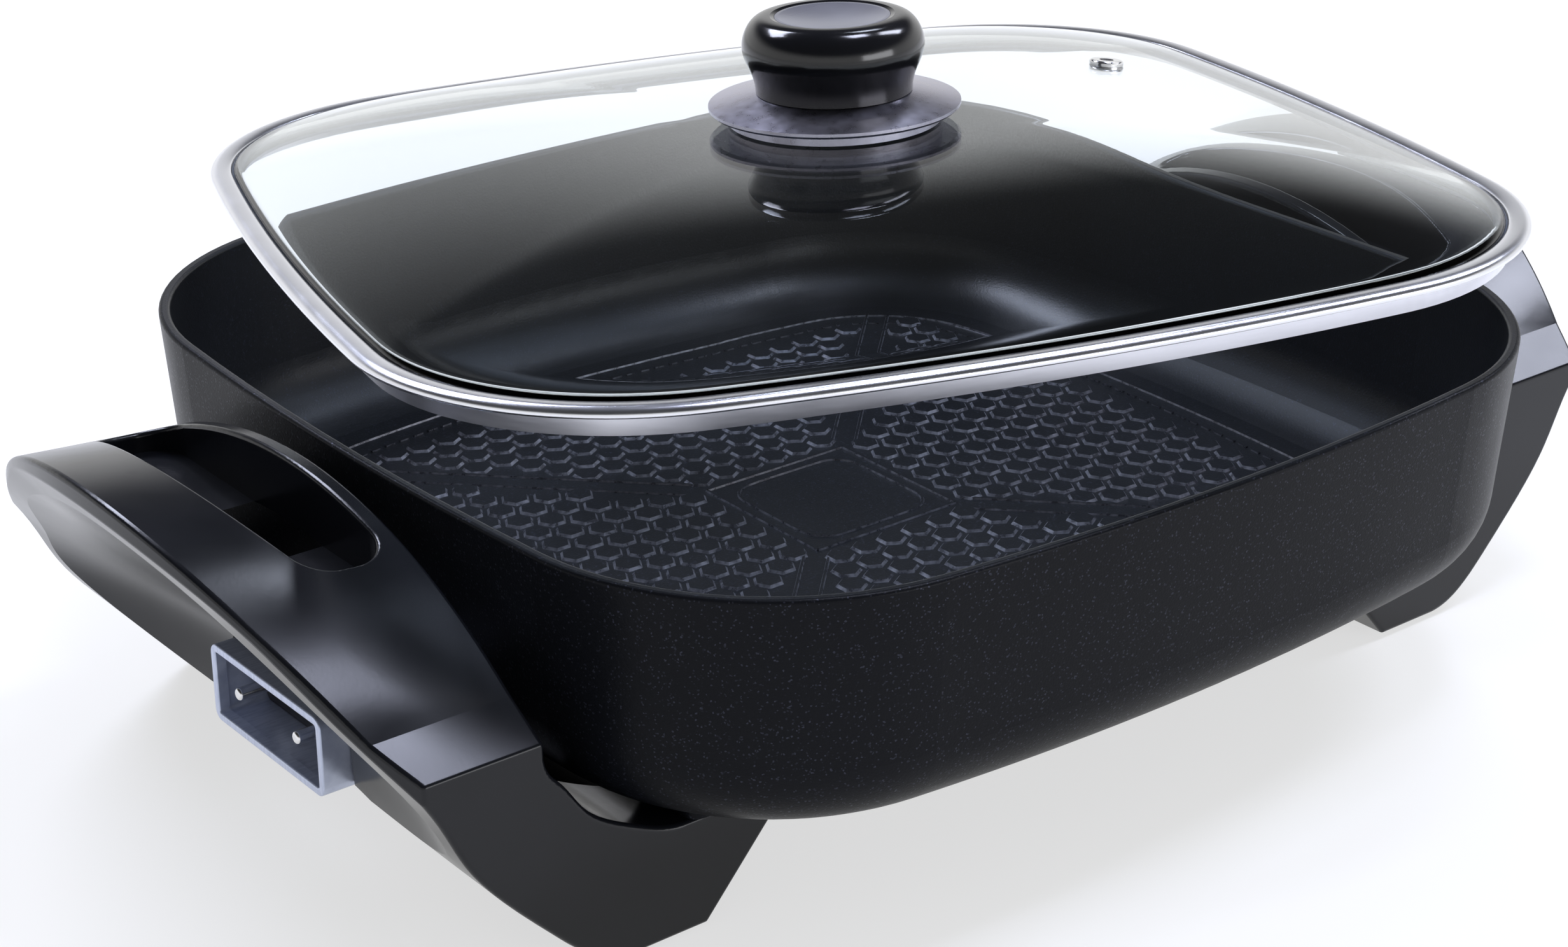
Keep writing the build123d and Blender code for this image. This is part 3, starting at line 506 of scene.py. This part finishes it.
lid_turn = (
    Matrix.Rotation(math.radians(lid_turned), 4, "Z")
    @ Matrix.Rotation(math.radians(lid_rolled), 4, "Y")
    @ Matrix.Rotation(math.radians(lid_tipped), 4, "X")
)
lid_up = lid_turn.to_3x3() @ Vector((0, 0, 1))
knob_point = Vector((0, 0, lid_plane_z + insert_mid * lid_up.z))
lid_place = Matrix.Translation(knob_point - lid_up * insert_mid) @ lid_turn
print("lid origin", [round(v, 4) for v in lid_place.translation])

# %% [markdown]
# Pan and lid share one outline: a square whose four sides bulge, with rounded corners. Each
# side is an arc, and each corner a smaller arc that touches two sides. A drawn curve could
# hold it, but the arcs give evenly spaced points, each with its outward direction, for any
# piece that follows the edge.

# %% The bulging outline


def bulged_outline(half, bow, corner_r, count):
    """Points round the outline, each with the direction that points straight out of it."""
    (half_x, half_y), (bow_x, bow_y) = half, bow
    reach_x = ((half_y - bow_y) ** 2 + bow_x**2) / (2 * bow_x)
    reach_y = ((half_x - bow_x) ** 2 + bow_y**2) / (2 * bow_y)
    mid_x = Vector((half_x - reach_x, 0))
    mid_y = Vector((0, half_y - reach_y))
    gap = mid_y - mid_x
    far_x, far_y = reach_x - corner_r, reach_y - corner_r
    along = (far_x**2 - far_y**2 + gap.length_squared) / (2 * gap.length)
    aside = math.sqrt(far_x**2 - along**2)
    line = gap.normalized()
    corner = mid_x + line * along + Vector((-line.y, line.x)) * aside
    turn_x = math.atan2((corner - mid_x).y, (corner - mid_x).x)
    turn_y = math.atan2((corner - mid_y).y, (corner - mid_y).x)
    arcs = [
        (mid_x, reach_x, 0.0, turn_x),
        (corner, corner_r, turn_x, turn_y),
        (mid_y, reach_y, turn_y, math.pi / 2),
    ]
    quarter = sum(radius * (end - start) for _, radius, start, end in arcs)
    tiny = 1e-9
    points = []
    for step in range(count):
        run = quarter * 4 * step / count
        part, left = int(run // quarter), run % quarter
        if part % 2 == 1:
            left = quarter - left
        for middle, radius, start, end in arcs:
            if left <= radius * (end - start) + tiny:
                break
            left -= radius * (end - start)
        angle = start + left / radius
        way = Vector((math.cos(angle), math.sin(angle)))
        spot = middle + way * radius
        sign_x = -1 if part in (1, 2) else 1
        sign_y = -1 if part in (2, 3) else 1
        outward = Vector((way.x * sign_x, way.y * sign_y))
        points.append((Vector((spot.x * sign_x, spot.y * sign_y)), outward))
    return points


lid_edge = bulged_outline(
    half=(153 * MM, 150 * MM), bow=(9 * MM, 13.5 * MM), corner_r=72 * MM, count=240
)
print("lid edge", len(lid_edge), "points, reach", round(max(p.x for p, _ in lid_edge), 4))

# %% [markdown]
# Two helpers make most pieces. One closes a list of points and faces into an object: it
# merges doubles, turns the faces outwards and moves the mesh to its place. The other carries
# a closed profile round an outline. A curve with a bevel object could do that, but it leaves
# less say over where the points go.

# %% Helpers for pieces
same_point = 0.0001 * MM


def piece_from(name, vertices, faces, finish, place=None, smooth=True):
    mesh = bpy.data.meshes.new(name)
    mesh.from_pydata(vertices, [], faces)
    shape = bmesh.new()
    shape.from_mesh(mesh)
    bmesh.ops.remove_doubles(shape, verts=shape.verts, dist=same_point)
    bmesh.ops.recalc_face_normals(shape, faces=shape.faces)
    if place is not None:
        bmesh.ops.transform(shape, matrix=place, verts=shape.verts)
    for face in shape.faces:
        face.smooth = smooth
    shape.to_mesh(mesh)
    shape.free()
    mesh.materials.append(finish)
    piece = bpy.data.objects.new(name, mesh)
    bpy.context.scene.collection.objects.link(piece)
    return piece


def follow_edge(edge, profile):
    """A closed profile of (inset, height) pairs carried round an outline."""
    vertices, faces = [], []
    size, total = len(profile), len(edge)
    for spot, way in edge:
        for inset, height in profile:
            on = spot - way * inset
            vertices.append((on.x, on.y, height))
    for i in range(total):
        here, there = i * size, ((i + 1) % total) * size
        for j in range(size):
            k = (j + 1) % size
            faces.append((here + j, here + k, there + k, there + j))
    return vertices, faces


print("piece helpers ready")

# %% [markdown]
# The band is stainless strip rolled round the edge of the glass: a bead with a rounded top, a
# sharp groove under it, and a thin skirt that drops inside the pan. A bevelled box would lose
# the groove. A profile carried round the edge gives crisp, unbroken reflections. In the
# profile each point is an inset from the lid's edge and a height over its plane, in mm.

# %% Lid band
bead_low, crown_in, crown_high = 1.2, 2.3, 3.1
lip_in, lip_high = 5.7, 2.5
outer_steps, inner_steps = 10, 6
skirt_top = -0.1

skirt = [(6.0, lip_high - 0.4), (6.0, -5.0), (5.55, -5.2), (5.1, -5.0), (5.1, -0.35)]
groove = [(4.7, 0.0), (2.2, 0.0), (1.7, 0.35), (0.9, 0.35), (0.35, 0.6), (0.0, bead_low)]
bead = []
for step in range(1, outer_steps + 1):
    angle = math.pi / 2 * step / outer_steps
    rise = (crown_high - bead_low) * math.sin(angle)
    bead.append((crown_in * (1 - math.cos(angle)), bead_low + rise))
for step in range(1, inner_steps + 1):
    angle = math.pi / 2 * step / inner_steps
    drop = (crown_high - lip_high) * (1 - math.cos(angle))
    bead.append((crown_in + (lip_in - crown_in) * math.sin(angle), crown_high - drop))
band_profile = [(inset * MM, height * MM) for inset, height in skirt + groove + bead]
band = piece_from("band", *follow_edge(lid_edge, band_profile), band_steel, lid_place)
band.data.materials.append(skirt_steel_painted_light)
for face in band.data.polygons:
    if (lid_place.inverted() @ face.center).z < skirt_top * MM:
        face.material_index = 1
print("band faces", len(band.data.polygons))

# %% [markdown]
# The shelf that carries the glass is a thin steel ring inside the band. In the CAD model it
# is part of the band's solid. Here it is a ring of its own, so that it can be a darker steel:
# that darkness is painted shade, since the shelf lies in the dark.

# %% Shelf under the glass
shelf_out, shelf_in = 5.5, 10.1
shelf_top, shelf_low = -2.0, -2.8

shelf_profile = [(shelf_out, shelf_top), (shelf_out, shelf_low)]
shelf_profile += [(shelf_in, shelf_low), (shelf_in, shelf_top)]
shelf_profile = [(inset * MM, height * MM) for inset, height in shelf_profile]
shelf = piece_from(
    "shelf", *follow_edge(lid_edge, shelf_profile), shelf_steel_painted_shade, lid_place, smooth=False
)
print("shelf faces", len(shelf.data.polygons))

# %% [markdown]
# The glass is a shallow dome, steeper near its edge and nearly level under the knob. The CAD
# glass is the same dome with fewer and wider rings, which would show as kinks in what it
# mirrors. Here rings of the outline shrink towards the middle and rise by one formula, on top
# and, a glass thickness lower, underneath. They lie close enough to bend the light smoothly,
# and closest at the edge, where the dome is steepest.

# %% Lid glass
glass_inset, glass_thick = 6.4 * MM, 4.0 * MM
dome_low, dome_high = 3.2, 18.8
level_share, dome_fall = 0.2, 2.4
soft_edge, soft_share = 0.8 * MM, 0.005
edge_count = len(lid_edge)
shares = [1.0, 0.985, 0.96] + [0.93 - 0.03 * k for k in range(25)] + [0.16, 0.1]
vertices, faces = [], []


def dome(share):
    """Height of the dome's top at a share of the way from the middle to the edge."""
    out = max((share - level_share) / (1 - level_share), 0.0)
    return (dome_low + (dome_high - dome_low) * (1 - out**dome_fall)) * MM


def glass_ring(share, height):
    start = len(vertices)
    for spot, way in lid_edge:
        on = (spot - way * glass_inset) * share
        vertices.append((on.x, on.y, height))
    return start


def join_rings(first, second):
    for i in range(edge_count):
        j = (i + 1) % edge_count
        faces.append((first + i, first + j, second + j, second + i))


top_rings = [glass_ring(1.0, dome(1.0) - soft_edge), glass_ring(1.0 - soft_share, dome(1.0))]
top_rings += [glass_ring(share, dome(share)) for share in shares[1:]]
low_rings = [glass_ring(share, dome(share) - glass_thick) for share in shares]
for first, second in zip(top_rings, top_rings[1:]):
    join_rings(first, second)
for first, second in zip(low_rings, low_rings[1:]):
    join_rings(second, first)
join_rings(low_rings[0], top_rings[0])
hub_top, hub_low = len(vertices), len(vertices) + 1
vertices += [(0, 0, dome(0.0)), (0, 0, dome(0.0) - glass_thick)]
for i in range(edge_count):
    j = (i + 1) % edge_count
    faces.append((top_rings[-1] + i, top_rings[-1] + j, hub_top))
    faces.append((low_rings[-1] + j, low_rings[-1] + i, hub_low))
glass = piece_from("glass", vertices, faces, clear_glass, lid_place)
print("glass faces", len(glass.data.polygons))

# %% [markdown]
# The panels are near and bright, and a domed glass would mirror them as hard pale patches
# along its edge. Moving them away would lose what they draw on the black. Light linking
# leaves the glass out of what they light, so that it mirrors only the room.

# %% Keep the panels out of the glass
unlit = bpy.data.collections.new("not_lit_by_panels")
unlit.objects.link(glass)
unlit.collection_objects[0].light_linking.link_state = "EXCLUDE"
for panel in panels:
    panel.light_linking.receiver_collection = unlit
print("panels that leave the glass out", len(panels))

# %% [markdown]
# The pan's floor carries a pressed pattern: raised hexagons in four sectors, split by plain
# diagonal bands, round a square medallion. An array modifier could lay a grid, but it could
# not cut it to a sector. The hexagons repeat by a rule, so Geometry Nodes lay out a staggered
# grid, drop what falls outside the sector, and put one tapered pad on each point that is
# left. The tree's sizes are named inputs.

# %% Sizes of the hexagon sector
floor_z = 42.0 * MM
reach_y, reach_x = 106.5 * MM, 111.5 * MM
rows, columns = 11, 28
pad_taper = 0.84


def new_tree(name, sizes):
    """A geometry tree with one named input for each size, and those inputs' identifiers."""
    tree = bpy.data.node_groups.new(name, "GeometryNodeTree")
    for side in ("INPUT", "OUTPUT"):
        tree.interface.new_socket(name="Geometry", in_out=side, socket_type="NodeSocketGeometry")
    identifiers = {}
    for size, default in sizes.items():
        socket = tree.interface.new_socket(name=size, in_out="INPUT", socket_type="NodeSocketFloat")
        socket.default_value = default
        identifiers[size] = socket.identifier
    return tree, identifiers


def shape_node(tree, kind, inputs):
    """Adds a geometry node and gives back its first output."""
    return add_node(tree, "GeometryNode" + kind, inputs).outputs[0]


sector_sizes = {"Pitch": 8.8 * MM, "Row": 7.62 * MM, "Pad": 4.35 * MM, "Height": 0.7 * MM}
sector_sizes |= {"Near": 31.0 * MM, "Band": 8.6 * MM, "Far": reach_y, "Turn": 0.0, "Lift": floor_z}
sector_tree, sector_inputs = new_tree("hexagon_sector", sector_sizes)
print("tree inputs", list(sector_inputs))

# %% [markdown]
# A grid of points gets its number from the index node. Its column and row come from that
# number, every second row is shifted by half a pitch, and the points are set out from there.
# What lies within the diagonal band or past the far edge is deleted. The pads are put on the
# points, made real, turned to their side of the pan and given the coat.

# %% Wire the sector's tree
tree = sector_tree
given = tree.nodes.new("NodeGroupInput").outputs
result = tree.nodes.new("NodeGroupOutput")
grid = shape_node(tree, "MeshGrid", {"Vertices X": columns, "Vertices Y": rows})
index = shape_node(tree, "InputIndex", {})
column = math_node(tree, "DIVIDE", math_node(tree, "ADD", index, 0.5), rows)
column = math_node(tree, "FLOOR", column)
row = math_node(tree, "SUBTRACT", index, math_node(tree, "MULTIPLY", column, rows))
odd = math_node(tree, "MODULO", row, 2)
centred = math_node(tree, "SUBTRACT", column, (columns - 1) / 2)
across = math_node(tree, "ADD", centred, math_node(tree, "MULTIPLY", odd, 0.5))
spot_x = math_node(tree, "MULTIPLY", across, given["Pitch"])
spot_y = math_node(tree, "MULTIPLY_ADD", row, given["Row"], given["Near"])
spot = add_node(tree, "ShaderNodeCombineXYZ", {"X": spot_x, "Y": spot_y, "Z": given["Lift"]})
laid = shape_node(tree, "SetPosition", {"Geometry": grid, "Position": spot.outputs[0]})
inside = math_node(tree, "SUBTRACT", spot_y, math_node(tree, "ABSOLUTE", spot_x))
too_wide = math_node(tree, "LESS_THAN", inside, given["Band"])
too_far = math_node(tree, "GREATER_THAN", spot_y, given["Far"])
dropped = math_node(tree, "MAXIMUM", too_wide, too_far)
kept = shape_node(tree, "DeleteGeometry", {"Geometry": laid, "Selection": dropped})
pad_top = math_node(tree, "MULTIPLY", given["Pad"], pad_taper)
pad_sizes = {"Radius Top": pad_top, "Radius Bottom": given["Pad"], "Depth": given["Height"]}
pad = shape_node(tree, "MeshCone", {"Vertices": 6, **pad_sizes})
point_first = (0, 0, math.radians(30))
turned = shape_node(tree, "Transform", {"Geometry": pad, "Rotation": point_first})
many = shape_node(tree, "InstanceOnPoints", {"Points": kept, "Instance": turned})
real = shape_node(tree, "RealizeInstances", {"Geometry": many})
aim = add_node(tree, "ShaderNodeCombineXYZ", {"Z": given["Turn"]})
swung = shape_node(tree, "Transform", {"Geometry": real, "Rotation": aim.outputs[0]})
dressed = shape_node(tree, "SetMaterial", {"Geometry": swung, "Material": coated})
feed(tree, result, {"Geometry": dressed})
print("tree nodes", len(tree.nodes))

# %% [markdown]
# The tree runs once for each side of the pan. Each run is kept as a plain mesh, because
# instances are lost on export, and the four are joined into one piece. Leaving the modifier
# live would be neater, but only a finished mesh can ride on the pan. Faces that slope then
# get the painted highlight finish.

# %% Lay the four sectors
nearly_level = 0.9
faces_per_pad = 8


def run_tree(name, tree, values, base=None):
    """Runs a node tree once and keeps the result as a plain mesh."""
    holder = bpy.data.objects.new(name + "_holder", base or bpy.data.meshes.new(name + "_holder"))
    bpy.context.scene.collection.objects.link(holder)
    modifier = holder.modifiers.new("nodes", "NODES")
    modifier.node_group = tree
    for identifier, value in values.items():
        modifier[identifier] = value
    seen = holder.evaluated_get(bpy.context.evaluated_depsgraph_get())
    mesh = bpy.data.meshes.new_from_object(seen)
    mesh.name = name
    holder.modifiers.remove(modifier)
    bpy.data.objects.remove(holder)
    return mesh


def brighten_slopes(mesh):
    """Faces that are neither level nor underneath take the second finish."""
    mesh.materials.append(slope_highlight_finish)
    for face in mesh.polygons:
        face.material_index = 1 if abs(face.normal.z) < nearly_level else 0


def join_meshes(name, meshes, finish):
    shape = bmesh.new()
    for mesh in meshes:
        shape.from_mesh(mesh)
    for face in shape.faces:
        face.smooth = False
    joined = bpy.data.meshes.new(name)
    shape.to_mesh(joined)
    shape.free()
    joined.materials.clear()
    joined.materials.append(finish)
    brighten_slopes(joined)
    piece = bpy.data.objects.new(name, joined)
    bpy.context.scene.collection.objects.link(piece)
    return piece


sector_meshes = []
for side in range(4):
    values = {sector_inputs["Turn"]: math.radians(90 * side)}
    values[sector_inputs["Far"]] = reach_y if side % 2 == 0 else reach_x
    sector_meshes.append(run_tree("sector_%d" % side, sector_tree, values))
hexagons = join_meshes("hexagons", sector_meshes, coated)
print("hexagon pads", len(hexagons.data.polygons) // faces_per_pad)

# %% [markdown]
# Thin raised lines frame the pattern: a solid outer border, a dashed inner one, the edges of
# the four diagonal bands and the rounded medallion in its square. A bump would show them from
# far off, but not in the mesh, so a low ridge profile is carried along each line.

# %% Border and medallion
foot_half, top_half, ridge_high = 0.55, 0.32, 0.5
line_profile = [(foot_half, 0.0), (top_half, ridge_high)]
line_profile += [(-top_half, ridge_high), (-foot_half, 0.0)]
line_profile = [(inset * MM, height * MM + floor_z) for inset, height in line_profile]
floor_bow = (7 * MM, 10.5 * MM)
edge_points = 200

border_edge = bulged_outline(
    half=(121.9 * MM, 118.3 * MM), bow=floor_bow, corner_r=42 * MM, count=edge_points
)
border = piece_from("floor_border", *follow_edge(border_edge, line_profile), coated, smooth=False)
medal_edge = bulged_outline(
    half=(20.5 * MM, 20.5 * MM), bow=(0.4 * MM, 0.4 * MM), corner_r=8 * MM, count=80
)
medallion = piece_from(
    "floor_medallion", *follow_edge(medal_edge, line_profile), coated, smooth=False
)
print("border", len(border.data.polygons), "medallion", len(medallion.data.polygons))

# %% [markdown]
# The diagonal bands and the square are straight, so the same profile only has to run from one
# end to the other, with a cap on each end. All twelve ridges are one piece.

# %% Bands and square
band_half = 3.3 * MM
band_from, band_to = 36, 147
square_half = 24.4 * MM
vertices, faces = [], []


def straight_ridge(start, end):
    way = (end - start).normalized()
    side = Vector((-way.y, way.x))
    first, size = len(vertices), len(line_profile)
    for point in (start, end):
        for inset, height in line_profile:
            on = point + side * inset
            vertices.append((on.x, on.y, height))
    for k in range(size):
        a, b = first + k, first + (k + 1) % size
        faces.append((a, b, b + size, a + size))
    faces.append(tuple(range(first, first + size)))
    faces.append(tuple(reversed(range(first + size, first + 2 * size))))


for sign_x in (1, -1):
    for sign_y in (1, -1):
        out = Vector((sign_x, sign_y)).normalized()
        side = Vector((-out.y, out.x)) * band_half
        inner, outer = out * band_from * MM, out * band_to * MM
        straight_ridge(inner + side, outer + side)
        straight_ridge(inner - side, outer - side)
square_signs = ((1, -1), (1, 1), (-1, 1), (-1, -1))
corners = [Vector((x * square_half, y * square_half)) for x, y in square_signs]
for k in range(4):
    straight_ridge(corners[k], corners[(k + 1) % 4])
bands = piece_from("floor_bands", vertices, faces, coated, smooth=False)
for ridge in (border, medallion, bands):
    brighten_slopes(ridge.data)
print("ridges", len(bands.data.polygons))

# %% [markdown]
# The inner border is dashed. A dashed line is a small bar repeated at an even step along a
# closed curve, which is what a second node tree does: the outline comes in as a ring of
# edges, becomes a curve, and a bar is put on each evenly spaced point and turned along it.

# %% Dashes along the inner border
faces_per_bar = 6
dash_high = 0.5 * MM
dash_sizes = {"Step": 5.2 * MM, "Dash": 3.2 * MM, "Width": 0.9 * MM, "Height": dash_high}
tree, dash_inputs = new_tree("dashes", dash_sizes)
given = tree.nodes.new("NodeGroupInput").outputs
result = tree.nodes.new("NodeGroupOutput")
line = {"Curve": shape_node(tree, "MeshToCurve", {"Mesh": given["Geometry"]})}
line["Length"] = given["Step"]
spaced = add_node(tree, "GeometryNodeCurveToPoints", line, mode="LENGTH").outputs
bar_size = {"X": given["Width"], "Y": given["Height"], "Z": given["Dash"]}
bar_size = add_node(tree, "ShaderNodeCombineXYZ", bar_size)
bar = shape_node(tree, "MeshCube", {"Size": bar_size.outputs[0]})
laid = {"Points": spaced["Points"], "Instance": bar, "Rotation": spaced["Rotation"]}
many = shape_node(tree, "InstanceOnPoints", laid)
real = shape_node(tree, "RealizeInstances", {"Geometry": many})
dressed = shape_node(tree, "SetMaterial", {"Geometry": real, "Material": coated})
feed(tree, result, {"Geometry": dressed})

dash_edge = bulged_outline(
    half=(116.4 * MM, 111.6 * MM), bow=floor_bow, corner_r=37 * MM, count=edge_points
)
ring = bpy.data.meshes.new("dash_ring")
ring_points = [(spot.x, spot.y, floor_z + dash_high / 2) for spot, _ in dash_edge]
ring.from_pydata(ring_points, [(i, (i + 1) % edge_points) for i in range(edge_points)], [])
dashes = join_meshes("floor_dashes", [run_tree("dashes", tree, {}, ring)], coated)
print("dashes", len(dashes.data.polygons) // faces_per_bar, "with inputs", list(dash_inputs))

# %% [markdown]
# Each piece rides on the CAD body that carries it, so that the pattern stays with the pan and
# the glass lifts with the lid. The smooth glass and band stand in for their CAD solids, which
# stay in the scene, hidden.

# %% Ride and replace
for piece in (hexagons, border, medallion, bands, dashes):
    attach(piece, "base")
for piece in (band, shelf, glass):
    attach(piece, "lid")
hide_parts("lid_band")
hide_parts("lid_glass")
